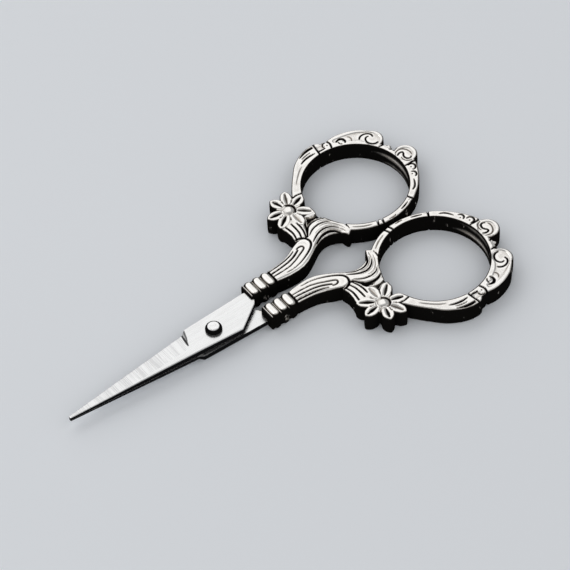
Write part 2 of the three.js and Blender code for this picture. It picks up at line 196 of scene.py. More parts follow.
# a face as a height over its plan, with a measure of how far inside the outline each point lies
class Relief:
    def __init__(self, xRange, yRange, step, settings):
        self.step, self.settings = step, settings
        self.xs, self.ys = np.arange(*xRange, step), np.arange(*yRange, step)
        self.x, self.y = np.meshgrid(self.xs, self.ys)
        self.height, self.cut, self.low, self.ink = (np.zeros(self.x.shape) for _ in range(4))
        self.inside = np.full(self.x.shape, -1.0)
        self.beads = []

    def window(self, points, reach):
        low, high = points.min(0) - reach, points.max(0) + reach
        i = np.searchsorted(self.xs, (low[0], high[0]))
        j = np.searchsorted(self.ys, (low[1], high[1]))
        return slice(*j), slice(*i)

    # how far each point of the window lies from a to b, and how far along it is
    def fromSegment(self, x, y, a, b):
        d = b - a
        t = np.clip(((x - a[0]) * d[0] + (y - a[1]) * d[1]) / max(d @ d, 1e-12), 0, 1)
        return np.hypot(x - a[0] - t * d[0], y - a[1] - t * d[1]), t

    # share of the half width at which each point lies, how far along the path, and the half width there
    def nearness(self, path, halves, spare=1.0):
        points = smoothPath(path)
        halves = np.interp(np.linspace(0, 1, len(points)), np.linspace(0, 1, len(halves)), halves)
        area = self.window(points, max(halves) * spare + self.settings["pathMargin"])
        x, y = self.x[area], self.y[area]
        best, along, width = np.full(x.shape, self.settings["far"]), np.zeros(x.shape), np.ones(x.shape)
        for k in range(len(points) - 1):
            gap, t = self.fromSegment(x, y, points[k], points[k + 1])
            half = halves[k] + (halves[k + 1] - halves[k]) * t
            q = gap / half
            near = q < best
            best[near], width[near] = q[near], half[near]
            along[near] = ((k + t) / (len(points) - 1))[near]
        return area, best, along, width

    # depth is the distance inside the outline; the rim is rounded and the face bows a little over its reach
    def raiseArea(self, area, depth, reach, top, rounding, drop, bow):
        turn, away = rising(depth, rounding, 0), rising(depth, reach, 0)
        rise = top - drop * (1 - np.sqrt(1 - turn * turn)) - bow * away * away
        self.height[area] = np.maximum(self.height[area], np.where(depth > -self.settings["skirt"], rise, 0))
        self.inside[area] = np.maximum(self.inside[area], depth)

    def strand(self, path, halves, top=2.05, rounding=0.25, drop=0.25, bow=0.04):
        area, q, along, width = self.nearness(path, halves)
        self.raiseArea(area, (1 - q) * width, width, top, np.minimum(rounding, width), drop, bow)

    # stations are the angle round the finger hole and the width of metal there
    def limb(self, *stations):
        bite = self.settings["bite"]
        path = [ring(angle, (width - bite) / 2) for angle, width in stations]
        self.strand(path, [(width + bite) / 2 for angle, width in stations])

    def disc(self, centre, radius, top=2.05, rounding=0.25, drop=0.25, bow=0.03):
        depth = radius - np.hypot(self.x - centre[0], self.y - centre[1])
        self.raiseArea(np.s_[:, :], depth, self.settings["bowReach"], top, rounding, drop, bow)

    def plate(self, corners, top=2.05, rounding=0.25, drop=0.25, bow=0.04):
        p = np.array(corners, float)
        area = self.window(p, self.settings["plateMargin"])
        x, y = self.x[area], self.y[area]
        odd, gap = np.zeros(x.shape, bool), np.full(x.shape, self.settings["far"])
        for a, b in zip(p, np.roll(p, -1, 0)):
            (ax, ay), (bx, by) = a, b
            if ay != by:
                odd ^= ((ay > y) != (by > y)) & (x < ax + (y - ay) * (bx - ax) / (by - ay))
            gap = np.minimum(gap, self.fromSegment(x, y, a, b)[0])
        self.raiseArea(area, np.where(odd, gap, -gap), self.settings["bowReach"], top, rounding, drop, bow)

    # pillowed bar across the shank, with painted shade where it turns down
    def cushion(self, x, half, low, high, top=2.05):
        s = self.settings["cushion"]
        front, rear, nick = x - half, x + half, s["nick"]
        self.plate([(front, low + nick), (front + nick, low), (rear - nick, low), (rear, low + nick),
                    (rear, high - nick), (rear - nick, high), (front + nick, high), (front, high - nick)],
                   top, s["rounding"], s["drop"], 0)
        across, along = np.abs(self.x - x) / half, np.abs(self.y - (low + high) / 2) * 2 / (high - low)
        power, other = s["powers"]
        away = ((s["squeeze"] * along) ** power + across ** other) ** (1 / other)
        over = (across < s["reach"][0]) & (along < s["reach"][1])
        self.ink = np.maximum(self.ink, np.where(over, smooth(rising(away, *s["dark"])), 0))

    # V cut whose half widths run along the path, with soft shoulders; the darkness given is painted into the
    # line: tarnish in the cut together with painted shade
    def groove(self, path, halves, depth, fade, ink, shoulder=0.06):
        s = self.settings
        area, q, along, width = self.nearness(path, halves, s["shoulderReach"])
        ends = rising(np.minimum(along, 1 - along), 0, fade)
        ends = ends * (2 - ends)
        beside = rising(q, s["shoulderReach"], 0)
        deep = (depth * np.clip(1 - q, 0, 1) ** s["hollow"] + shoulder * beside * beside) * ends
        self.cut[area] = np.maximum(self.cut[area], deep)
        dark = ink * smooth(rising(q, *s["line"])) * np.minimum(1, s["lineEnds"] * ends)
        self.ink[area] = np.maximum(self.ink[area], dark)

    def lower(self, field, path, halves, depth, border):
        area, q, along, width = self.nearness(path, halves)
        field[area] = np.maximum(field[area], depth * smooth(rising((1 - q) * width, 0, border)))

    # sunk field that leaves a raised border
    def dish(self, *cut):
        self.lower(self.cut, *cut)

    # the same for a part that lies lower but is as bright as the rest
    def sink(self, *cut):
        self.lower(self.low, *cut)

    def bead(self, centre, radius, top, squash, dot=0.0):
        self.beads.append((centre, radius, top, squash, dot))

    def bore(self, centre, radius):
        self.inside = np.minimum(self.inside, np.hypot(self.x - centre[0], self.y - centre[1]) - radius)

    # puts the cuts and beads together and works out what lies lower than its surroundings
    def close(self, face):
        s = self.settings
        field, level = soften(self.height, 1, 1) - self.cut, soften(self.low, 2)
        for centre, radius, top, squash, dot in self.beads:
            q = np.hypot(self.x - centre[0], self.y - centre[1]) / radius
            dome = np.where(q < 1, top - squash * radius * (1 - np.sqrt(np.clip(1 - q * q, 0, 1))), 0)
            self.ink = self.ink * rising(q, *s["beadClear"])
            if dot:
                self.ink = np.maximum(self.ink, s["darkest"] * rising(q * radius / dot, *s["dotEdge"]))
            field = np.maximum(field, dome + level)
            self.inside = np.maximum(self.inside, (1 - q) * radius)
        field = np.clip(field, s["lowest"], face)
        # low ground gets painted shade and each outline a painted dark rim
        self.ink = np.maximum(self.ink, s["darkest"] * rising(field, *s["lowGround"]))
        self.ink = np.maximum(self.ink, rising(self.inside, *s["outline"]))
        body = (self.inside > 0).astype(float)
        mean = soften(field * body, s["around"]) / np.maximum(soften(body, s["around"]), s["leastAround"])
        self.recess = mean - field - s["rub"] * rising(self.inside, s["rubReach"], 0)
        self.height = np.clip(field - level, s["lowest"], face)

    def sample(self, field, x, y):
        u, v = (x - self.xs[0]) / self.step, (y - self.ys[0]) / self.step
        i = np.clip(u.astype(int), 0, len(self.xs) - 2)
        j = np.clip(v.astype(int), 0, len(self.ys) - 2)
        a, b = u - i, v - j
        low = field[j, i] * (1 - a) + field[j, i + 1] * a
        return low * (1 - b) + (field[j + 1, i] * (1 - a) + field[j + 1, i + 1] * a) * b

    # the way into the metal
    def slope(self, x, y):
        slopeY, slopeX = np.gradient(self.inside, self.step)
        return self.sample(slopeX, x, y), self.sample(slopeY, x, y)

    # grid cells inside the outline; two that meet at a corner alone get a third
    def keptCells(self):
        f = self.inside
        keep = (f[:-1, :-1] + f[1:, :-1] + f[:-1, 1:] + f[1:, 1:]) > 0
        for _ in range(2):
            a, b, c, d = keep[:-1, :-1], keep[:-1, 1:], keep[1:, :-1], keep[1:, 1:]
            keep[:-1, 1:] |= a & d & ~b & ~c
            keep[:-1, :-1] |= b & c & ~a & ~d
        keep[0, :] = keep[-1, :] = keep[:, 0] = keep[:, -1] = False
        return keep

    # quads over the kept cells, which grid points they use, and the edges along the rim
    def quads(self):
        keep = self.keptCells()
        used = np.zeros(self.x.shape, bool)
        for rows in (np.s_[:-1], np.s_[1:]):
            for columns in (np.s_[:-1], np.s_[1:]):
                used[rows, columns] |= keep
        count = int(used.sum())
        index = np.full(self.x.shape, -1)
        index[used] = np.arange(count)
        j, i = np.nonzero(keep)
        quads = np.stack([index[j, i], index[j, i + 1], index[j + 1, i + 1], index[j + 1, i]], 1)
        edges = quads[:, [0, 1, 1, 2, 2, 3, 3, 0]].reshape(-1, 2)
        key, back = edges[:, 0] * count + edges[:, 1], edges[:, 1] * count + edges[:, 0]
        return used, quads, edges[~np.isin(key, back)]

    # draws the rim onto the outline, then evens it out along itself; a and b are the ends of its edges
    def fitRim(self, x, y, a, b):
        s = self.settings
        homeX, homeY, most = x.copy(), y.copy(), s["rimShift"] * self.step
        for _ in range(s["rimPasses"]):
            gx, gy = self.slope(x, y)
            shift = self.sample(self.inside, x, y) / np.maximum(gx * gx + gy * gy, s["leastSlope"])
            x = np.clip(x - shift * gx, homeX - most, homeX + most)
            y = np.clip(y - shift * gy, homeY - most, homeY + most)
        number = np.bincount(a, minlength=len(x)) + np.bincount(b, minlength=len(x))
        for _ in range(s["evenPasses"]):
            for values in (x, y):
                total = np.zeros(len(x))
                np.add.at(total, a, values[b])
                np.add.at(total, b, values[a])
                values[:] = 0.5 * values + 0.5 * total / number
        return x, y

    # both faces and the wall between them; with no level for the underside it is the same as the top
    def mesh(self, draft, paintedRimShade, underside=None):
        used, quads, rimEdges = self.quads()
        count, rim = int(used.sum()), np.unique(rimEdges)
        x, y = self.x[used], self.y[used]
        a, b = np.searchsorted(rim, rimEdges).T
        rimX, rimY = self.fitRim(x[rim], y[rim], a, b)
        x[rim], y[rim] = rimX, rimY
        z, recess, ink = (self.sample(field, x, y) for field in (self.height, self.recess, self.ink))
        bottom = -z if underside is None else np.full(count, underside)
        gx, gy = self.slope(rimX, rimY)
        length = np.maximum(np.hypot(gx, gy), 1e-6)
        outX, outY = -gx / length * draft, -gy / length * draft
        points, levels = [np.stack([x, y, z], 1), np.stack([x, y, bottom], 1)], [rim]
        wallRows = self.settings["wallRows"]
        for row, (share, push) in enumerate(wallRows):
            level = z[rim] + (bottom[rim] - z[rim]) * share
            points.append(np.stack([rimX + outX * push, rimY + outY * push, level], 1))
            levels.append(2 * count + row * len(rim) + np.arange(len(rim)))
        levels.append(rim + count)
        faces = [quads, quads[:, ::-1] + count]
        for upper, lower in zip(levels, levels[1:]):
            faces.append(np.stack([upper[b], upper[a], lower[a], lower[b]], 1))
        points, faces = np.vstack(points), np.vstack(faces)
        # the walls are marked to be painted dark, standing in for shade and dark reflections, and the top
        # rims get painted rim shade
        wall = np.zeros(len(points))
        wall[2 * count:] = 1
        wall[rim] = wall[rim + count] = paintedRimShade
        over = np.concatenate([np.arange(count)] * 2 + [rim] * len(wallRows))
        flat = wall < 1
        return points, faces, {"wall": wall, "recess": flat * recess[over], "ink": flat * ink[over]}


collarSettings = {
    "front": 9.88, "rear": 16.1, "low": 1.34, "high": 5.28,
    "coreInset": 0.25, "core": (1.0, 0.2, 0.2),  # top, rounding, drop
    "bands": (11.24, 13.17, 15.08), "bandHalf": 0.87,
    "ridge": 0.96, "ridgeInset": 0.3, "ridgeShape": ([0.12], 1.6, 0.1, 0.2),  # behind each band
    "lip": 10.14, "lipInset": 0.45, "lipShape": ([0.25], 1.9, 0.2, 0.3),  # at the blade
    # path, half width, depth, fade, darkness, shoulder
    "seams": (([(9.98, 1.34), (10.0, 3.3), (9.98, 5.28)], [0.11], 0.1, 0.01, 0.85, 0),
              ([(16.02, 1.0), (16.05, 3.3), (16.02, 5.6)], [0.17], 0.7, 0.01, 1, 0)),
}


def castCollar(r, s):
    front, rear, low, high = s["front"], s["rear"], s["low"], s["high"]

    def crossbar(x, inset, shape):
        r.strand([(x, low + inset), (x, high - inset)], *shape)

    bottom, top = low + s["coreInset"], high - s["coreInset"]
    r.plate([(front, bottom), (rear, bottom), (rear, top), (front, top)], *s["core"])
    crossbar(s["lip"], s["lipInset"], s["lipShape"])
    for x in s["bands"]:
        r.cushion(x, s["bandHalf"], low, high)
        crossbar(x + s["ridge"], s["ridgeInset"], s["ridgeShape"])
    for seam in s["seams"]:
        r.groove(*seam)


flowerSettings = {
    "centre": (28.65, 15.0), "bed": (2.6, 1.2, 0.3, 0.2),  # radius, top, rounding, drop
    # angle, reach and how strong the dark line is
    "petals": ((109, 4.65, 0.9), (65, 5.1, 0.65), (19, 4.75, 1.0), (318, 5.15, 0.85), (270, 5.0, 0.4),
               (215, 5.2, 1.0), (172, 4.85, 1.0)),
    "petalShape": (2.04, 0.2, 0.25, 0),  # top, rounding, drop, bow
    "root": 1.05, "rootHalf": 0.56, "rootByHole": 1.42, "facing": 0.2,  # further out where it faces the hole
    "inner": ((1.7, 0.88), (2.2, 1.12), (2.8, 1.22), (3.3, 1.2)),  # reach, half width
    "outer": ((0.9, 1.02), (0.45, 0.68), (0.12, 0.27)),  # short of the tip, half width
    "lineEnd": 0.62,
    "hollow": {"starts": (1.35, 2.1, 3.0), "halves": (0.2, 0.5, 0.58, 0.24), "depth": 0.14, "fade": 0.06},
    "vein": {"starts": (1.6, 2.2, 3.0), "halves": (0.08, 0.22, 0.31, 0.12), "depth": 0.55, "fade": 0.14},
    "seam": (1.8, 2.2, 2.7), "seamLine": ([0.04, 0.06, 0.16], 0.6, 0.2, 0.65),
    "hub": (28.5, 15.12), "hubShape": (1.4, 2.05, 0.42),  # radius, top, squash
    # a painted shade crescent on the hub's right flank and a faint line round the hub: radius, angles, half
    # widths, depth, fade, darkness
    "hubLines": ((1.32, range(-75, 91, 15), [0.14, 0.26, 0.28, 0.22, 0.12], 0.6, 0.2, 1),
                 (1.3, range(90, 286, 15), [0.1], 0.12, 0.05, 0.12)),
}


def castPetal(r, s, angle, tip, strength):
    def at(out, aside=0.0):
        x, y = polar(s["centre"], out, angle)
        return x - aside * sin(radians(angle)), y + aside * cos(radians(angle))

    def lengthwise(line):
        return [at(out) for out in (*line["starts"], tip - s["lineEnd"])]

    root = s["rootByHole"] if cos(radians(angle)) > s["facing"] else s["root"]
    leaf = [(root, s["rootHalf"]), *s["inner"], *((tip - short, half) for short, half in s["outer"])]
    left, right = [at(out, half) for out, half in leaf], [at(out, -half) for out, half in leaf]
    r.plate([*left, at(tip), *reversed(right)], *s["petalShape"])
    hollow, vein = s["hollow"], s["vein"]
    r.groove(lengthwise(hollow), hollow["halves"], hollow["depth"], hollow["fade"], 0, 0)
    start, *middle, end = vein["halves"]
    halves = [start, *(half * strength for half in middle), end]
    r.groove(lengthwise(vein), halves, vein["depth"] * strength, vein["fade"], strength, 0)


def castFlower(r, s):
    r.disc(s["centre"], *s["bed"])
    for petal in s["petals"]:
        castPetal(r, s, *petal)
    # dark seams where neighbours meet
    turns = sorted(petal[0] for petal in s["petals"])
    for a, b in zip(turns, turns[1:] + [turns[0] + 360]):
        r.groove([polar(s["centre"], reach, (a + b) / 2) for reach in s["seam"]], *s["seamLine"])
    for reach, angles, *line in s["hubLines"]:
        r.groove([polar(s["hub"], reach, angle) for angle in angles], *line)
    r.bead(s["hub"], *s["hubShape"])


# the other forms of the casting: each key is one of the relief's tools, each row what that tool is given
shank = {
    "plate": [  # outline, top, rounding, drop
        ([(15.85, 1.78), (17, 1.5), (19, 1.25), (21, 1.25), (22.5, 1.48), (24, 2.08), (25, 2.68),
          (26, 3.28), (27, 3.95), (28, 4.48), (29, 4.92), (30, 5.08), (31, 5.04), (32, 4.74),
          (32.75, 4.35), (33.3, 3.9), (33.6, 3.25), (33.82, 2.74), (33.98, 2.56), (34.2, 2.6),
          (34.65, 2.92), (35.2, 3.3), (35.2, 4.2), (35.05, 4.9), (34.75, 5.8), (34.25, 7.0), (33.65, 8.3),
          (33.1, 9.25), (32.55, 9.88), (31.7, 10.16), (30.8, 10.2), (29.9, 9.98), (29.15, 9.45),
          (28.5, 8.75), (27.9, 7.95), (27.3, 7.15), (26.5, 7.25), (25.7, 7.45), (24.9, 7.36), (24, 7.0),
          (23, 6.6), (22, 6.15), (21, 5.78), (20, 5.48), (19, 5.3), (18, 5.18), (17, 5.1), (15.85, 5.08)],
         2.03, 0.3, 0.3),
    ],
    "sink": [  # path, half widths, depth, border
        ([(15.9, 5.3), (18, 5.4), (20, 5.75), (21.5, 6.2), (23, 6.85)],
         [1.1, 1.1, 1.1, 0.9, 0.4], 0.38, 1.1),
        ([(15.9, 1.4), (18, 1.15), (20.5, 1.0), (22.5, 1.3), (25, 2.5), (27, 3.8)], [0.8], 0.2, 0.8),
    ],
    "groove": [  # flutes: path, half widths, depth, fade, darkness
        ([(16.0, 4.52), (18, 4.64), (20, 4.88), (21, 5.1), (22, 5.4), (22.9, 5.82)],
         [0.14, 0.15, 0.14, 0.09], 0.5, 0.06, 1),
        ([(16.0, 3.68), (18, 3.82), (20, 4.06), (21, 4.27), (22, 4.58), (23, 5.06), (23.9, 5.56)],
         [0.14, 0.15, 0.16, 0.18, 0.13], 0.5, 0.05, 1),
        ([(16.0, 2.95), (18, 2.98), (20, 3.12), (21, 3.38), (22, 3.72), (23, 4.18), (24, 4.62),
          (24.8, 5.02), (25.12, 5.42), (24.9, 5.84), (24.3, 5.98), (23.6, 5.78)],
         [0.1, 0.11, 0.12, 0.12, 0.14, 0.14, 0.16, 0.12], 0.4, 0.05, 0.9),
        ([(18.6, 2.2), (20.5, 2.25), (22, 2.55), (23, 2.88), (24, 3.3), (25, 3.8), (26, 4.42),
          (26.72, 5.12), (27.02, 5.9), (26.88, 6.7), (26.4, 7.35), (25.6, 7.72)],
         [0.06, 0.08, 0.1, 0.13, 0.16, 0.18, 0.2, 0.2, 0.2], 0.6, 0.12, 1),
    ],
}

spray = {
    "sink": [  # outer leaves lie lower
        ([(27.6, 4.1), (29, 4.95), (30.2, 5.15), (31.5, 5.0), (32.6, 4.55), (33.2, 3.9)],
         [0.5, 0.68, 0.72, 0.68, 0.5], 0.34, 0.18),
        ([(28.6, 9.3), (29.6, 10.0), (30.8, 10.25), (31.9, 10.1), (32.9, 9.4)],
         [0.4, 0.6, 0.66, 0.6, 0.3], 0.3, 0.18),
    ],
    "groove": [  # between the leaves, then lighter ones on them
        ([(27.6, 4.6), (28.6, 5.2), (29.5, 5.6), (30.5, 5.78), (31.5, 5.68), (32.4, 5.2), (33.0, 4.5),
          (33.3, 3.9)], [0.09, 0.17, 0.21, 0.22, 0.17, 0.1], 0.6, 0.14, 1),
        ([(27.2, 5.2), (28.2, 5.85), (29.2, 6.42), (30.2, 6.74), (31.2, 6.82), (32.2, 6.5), (33.1, 5.75),
          (33.75, 4.7)], [0.08, 0.15, 0.18, 0.18, 0.13, 0.07], 0.55, 0.3, 1),
        ([(27.6, 6.95), (28.6, 7.68), (29.5, 8.14), (30.4, 8.34), (31.2, 8.38), (32.4, 8.06), (33.2, 7.3)],
         [0.07, 0.14, 0.16, 0.14, 0.07], 0.5, 0.32, 0.95),
        ([(28.7, 8.95), (29.6, 9.46), (30.7, 9.66), (31.8, 9.52), (32.9, 8.95)],
         [0.14, 0.2, 0.22, 0.19, 0.1], 0.6, 0.14, 1),
        ([(28.6, 6.5), (29.6, 7.0), (31, 7.2), (32.2, 6.95), (33.1, 6.25), (33.8, 5.2), (34.2, 4.2)],
         [0.06, 0.1, 0.1, 0.06], 0.1, 0.4, 0.14),
        ([(30.2, 7.75), (31.4, 7.82), (32.6, 7.4), (33.5, 6.4), (34.15, 5.2), (34.5, 4.1)],
         [0.05, 0.09, 0.1, 0.06], 0.12, 0.35, 0.22),
        ([(30.6, 8.95), (31.8, 8.85), (32.9, 8.1), (33.7, 6.9)], [0.06, 0.09, 0.06], 0.1, 0.4, 0.14),
        ([(29.4, 6.05), (30.6, 6.3), (31.6, 6.2), (32.5, 5.7), (33.2, 4.9), (33.7, 3.9)],
         [0.06, 0.12, 0.12, 0.07], 0.14, 0.35, 0.3),
        ([(26.4, 3.95), (27.6, 4.72), (28.4, 5.15)], [0.06, 0.09, 0.06], 0.2, 0.3, 0.5),
        ([(33.5, 5.2), (33.9, 4.2), (34.05, 3.4)], [0.06, 0.09, 0.05], 0.14, 0.35, 0.3),
    ],
}

stems = {
    "plate": [  # stems to the flower, low web beside them
        ([(24.62, 7.5), (24.95, 9.2), (24.85, 10.6), (24.45, 12.3), (26, 13), (28.8, 13), (28.85, 11),
          (28.7, 9.7), (28.25, 8.75), (27.6, 7.5), (26.3, 7.0)], 1.98, 0.3, 0.35),
        ([(28.6, 9.2), (30, 9.9), (33, 9.6), (32.7, 11.8), (30, 12)], 1.05, 0.1, 0.1),
    ],
    "groove": [
        ([(24.9, 7.85), (25.6, 7.78), (26.4, 7.4), (26.95, 6.75)], [0.2, 0.22, 0.18], 0.7, 0.1, 1),
        ([(25.25, 7.8), (25.62, 9.2), (25.62, 10.5), (25.4, 11.9)], [0.13, 0.16, 0.18, 0.16], 0.5, 0.05, 1),
        ([(26.25, 7.6), (26.72, 9.0), (26.82, 10.4), (26.8, 11.9)], [0.12, 0.15, 0.17, 0.15], 0.5, 0.05, 1),
        ([(27.05, 7.2), (27.6, 8.7), (27.82, 10.0), (27.8, 11.4)], [0.12, 0.15, 0.17, 0.12], 0.5, 0.05, 1),
        ([(27.3, 7.0), (28.1, 8.2), (28.75, 9.1), (29.2, 9.9)], [0.12, 0.17, 0.26, 0.3], 0.7, 0.08, 1),
    ],
}

flowerLimb = {
    "limb": [  # stations
        [(157, 2.15), (145, 1.85), (131, 1.95), (118, 2.55), (106, 3.0), (98, 3.2), (91.8, 3.15)],
    ],
    "groove": [  # leaves towards the knuckle, then a fine line and the flower's end
        ([(38.5, 24.85), (39.3, 25.2), (40.2, 25.5), (41.2, 25.68), (42.5, 25.7)],
         [0.06, 0.16, 0.24, 0.28, 0.24], 0.75, 0.1, 1),
        ([(37.8, 23.35), (38.8, 23.78), (39.7, 24.0), (40.7, 24.1), (41.9, 24.05)],
         [0.08, 0.17, 0.2, 0.19, 0.08], 0.65, 0.16, 1),
        ([(38.6, 24.3), (39.6, 24.62), (40.5, 24.78), (41.2, 24.8)],
         [0.06, 0.11, 0.1, 0.05], 0.3, 0.3, 0.7),
        ([(33.6, 19.3), (35, 20.75), (36.4, 22.0), (37.8, 22.9)], [0.07, 0.1, 0.08], 0.14, 0.35, 0.2),
        ([(31.1, 17.1), (32.1, 17.22), (33.3, 17.0)], [0.15], 0.6, 0.1, 1),
    ],
}

knuckle = {
    "limb": [[(93, 2.2), (85, 2.35), (78, 2.45)]],
    "dish": [([(43.4, 24.72), (43.95, 24.72)], [0.7], 0.22, 0.25)],
    "groove": [
        ([(42.38, 23.0), (42.62, 24.5), (42.9, 26.3)], [0.17], 0.8, 0.01, 1),
        ([(42.6, 23.98), (43.4, 23.96), (44.35, 24.02)], [0.13, 0.18, 0.14], 0.6, 0.1, 1),
        ([(44.15, 24.2), (44.2, 24.8), (44.6, 25.2), (45.2, 25.2)], [0.1, 0.15, 0.16, 0.1], 0.45, 0.2, 0.8),
        ([(44.9, 25.75), (45.5, 25.3), (45.72, 24.6), (45.66, 24.0), (45.35, 23.2)],
         [0.2, 0.19, 0.17, 0.17], 0.75, 0.02, 1),
    ],
    "bead": [((44.98, 24.3), 0.6, 2.04, 0.5, 0.16)],  # centre, radius, top, squash, dark dot
}

broadScroll = {
    "limb": [[(78.5, 2.4), (69, 3.2), (60, 3.72), (51, 4.1), (43, 4.12)]],
    "disc": [(ring(37.5, 1.92), 2.36)],
    "dish": [
        ([(47.0, 24.3), (49.3, 23.5), (51.3, 22.5), (52.9, 20.9), (53.2, 19.9)],
         [0.62, 0.98, 1.28, 1.62, 1.7], 0.11, 0.24),
        ([(52.7, 20.3), (53.2, 20.0)], [0.75], 0.12, 0.3),
    ],
    "groove": [  # the volute, then the eye beside it
        ([(51.05, 21.6), (51.5, 22.02), (52.1, 22.25), (52.8, 22.2), (53.45, 21.85), (53.82, 21.25),
          (53.72, 20.55)], [0.15, 0.17, 0.17, 0.16, 0.17, 0.13], 0.55, 0.05, 1),
        ([(53.2, 21.2), (52.65, 21.28), (52.15, 20.95), (51.92, 20.3), (52.05, 19.6), (52.45, 19.05),
          (53.05, 18.76), (53.8, 18.76)], [0.12, 0.15, 0.16, 0.18, 0.18, 0.15], 0.6, 0.06, 1),
        ([(46.95, 23.95), (47.5, 24.15), (48.1, 24.15), (48.55, 23.75), (48.62, 23.1), (48.3, 22.62)],
         [0.15, 0.2, 0.27, 0.26, 0.2, 0.12], 0.7, 0.08, 1),
        ([(47.35, 23.8), (47.35, 23.1), (47.7, 22.7)], [0.11], 0.35, 0.2, 0.8),
        ([(49.5, 23.85), (49.95, 23.4), (49.98, 22.8), (49.6, 22.15)],
         [0.08, 0.14, 0.14, 0.08], 0.22, 0.25, 0.45),
        ([(50.6, 23.75), (52.2, 23.05), (53.6, 22.25), (54.5, 21.2)], [0.07, 0.1, 0.07], 0.1, 0.35, 0.3),
    ],
    "bead": [((47.95, 23.32), 0.48, 2.04, 0.7, 0)],
}

# with the leaf between the scrolls
sideLimb = {
    "limb": [[(31, 1.2), (20, 1.05), (8, 1.05), (-6, 1.1), (-20, 1.3)]],
    "strand": [([(53.2, 17.6), (53.75, 16.8), (54.15, 16.0), (54.35, 15.2)], [0.75, 0.72, 0.6, 0.4], 1.98)],
    "groove": [
        ([(52.9, 17.55), (53.7, 17.5), (54.5, 17.62), (55.4, 17.75)],
         [0.1, 0.2, 0.24, 0.22], 0.85, 0.08, 1),
        ([(54.1, 15.7), (54.7, 15.45), (55.4, 15.6)], [0.12, 0.2, 0.2], 0.7, 0.1, 1),
    ],
    "bead": [((54.6, 16.45), 0.5, 1.95, 0.7, 0)],
}

smallScroll = {
    "disc": [((55.92, 12.82), 2.4)],
    "dish": [([(55.6, 12.9), (55.9, 12.8)], [1.8], 0.08, 0.25)],
    "groove": [
        ([(54.3, 13.25), (54.75, 13.52), (55.25, 13.62), (55.7, 13.42), (55.62, 13.0), (55.3, 12.6),
          (55.2, 12.0), (55.45, 11.45), (56.0, 11.25), (56.5, 11.55)],
         [0.12, 0.17, 0.17, 0.15, 0.17, 0.18, 0.16, 0.1], 0.55, 0.06, 1),
        ([(54.3, 14.0), (54.9, 14.3), (55.6, 14.38), (56.3, 14.05), (56.8, 13.3), (56.95, 12.4),
          (56.7, 11.6)], [0.08, 0.13, 0.14, 0.12, 0.08], 0.2, 0.2, 0.6),
        ([(54.75, 12.7), (54.62, 12.0), (54.85, 11.2), (55.4, 10.75), (56.1, 10.6)],
         [0.08, 0.12, 0.13, 0.08], 0.2, 0.25, 0.6),
        ([(54.5, 14.65), (55.1, 14.95), (55.7, 15.0)], [0.06, 0.1, 0.06], 0.12, 0.3, 0.45),
    ],
}

# with two small curls
curlLimb = {
    "limb": [[(-8, 2.75), (-13, 2.6), (-22, 2.25), (-31, 1.95), (-41, 1.75), (-50, 1.55), (-57, 1.5)]],
    "groove": [
        ([(53.7, 10.15), (54.6, 10.1), (55.6, 10.15), (56.4, 10.0)], [0.1, 0.2, 0.2, 0.2], 0.75, 0.1, 1),
        ([(54.2, 9.85), (54.95, 9.85), (55.4, 9.45), (55.4, 8.85), (54.95, 8.4), (54.3, 8.4)],
         [0.1, 0.15, 0.17, 0.16, 0.15, 0.1], 0.5, 0.12, 1),
        ([(53.7, 8.15), (54.2, 7.85), (54.35, 7.35), (54.1, 6.85), (53.6, 6.65)],
         [0.08, 0.15, 0.17, 0.15, 0.08], 0.5, 0.15, 1),
        ([(52.95, 6.3), (52.5, 5.4), (51.8, 4.55), (50.9, 4.1)], [0.07, 0.14, 0.17, 0.09], 0.4, 0.2, 0.85),
        ([(48.5, 2.3), (49.15, 2.5), (49.6, 2.0)], [0.05], 0.05, 0.3, 0.1),
        ([ring(-57, -0.3), ring(-57.6, 1.0), ring(-57.4, 2.2)], [0.18], 0.35, 0.01, 1),
    ],
    "bead": [
        ((54.5, 9.15), 0.58, 2.04, 0.4, 0.16),
        ((53.5, 7.5), 0.52, 2.04, 0.4, 0.15),
    ],
}

# with its root at the leaves
slimLimb = {
    "limb": [
        [(-58, 1.4), (-70, 1.3), (-85, 1.28), (-98, 1.35)],
        [(-97, 1.35), (-112, 1.45), (-127, 1.6), (-139, 1.8)],
    ],
    "groove": [
        ([(48.25, 2.25), (47.1, 1.78), (46.0, 1.42)], [0.06, 0.15, 0.08], 0.45, 0.2, 1),
        ([(44.4, 0.95), (43.5, 0.85), (42.6, 0.88)], [0.07, 0.12, 0.07], 0.28, 0.3, 0.7),
        *[([ring(turn, -0.3), ring(turn - 0.6, 0.8), ring(turn - 1.4, 2)], [0.18], 0.8, 0.01, 1)
          for turn in (-98.5, -104)],
        ([ring(-110, 0.75), ring(-120, 0.8), ring(-131, 0.85)], [0.08, 0.12, 0.08], 0.14, 0.35, 0.35),
        ([(34.98, 5.8), (35.08, 5.0), (35.1, 4.3), (35.05, 3.7)],
         [0.22, 0.15, 0.08, 0.05], 0.45, 0.1, 0.95),
    ],
}


def carve(r, form):
    for tool, rows in form.items():
        for row in rows:
            getattr(r, tool)(*row)


boreSheenSettings = {
    "spread": 38, "reach": 0.05,
    "streaks": ((-1.7, 0), (-1.4, 0.42), (-0.55, 0.15), (0.55, 0.5), (1.4, 0.12), (1.7, 0)),  # against z
}


# two painted streaks of sheen on the far side of the finger hole, lifting the painted wall dark there
def paintedBoreSheen(points, s):
    x, y = (points[:, :2] - fingerHole["centre"]).T
    angle = np.degrees(np.arctan2(y, x)) / s["spread"]
    streak = np.exp(-angle * angle) * between(points[:, 2], s["streaks"])
    return np.where(np.hypot(x, y) < fingerHole["radius"] + s["reach"], streak, 0)


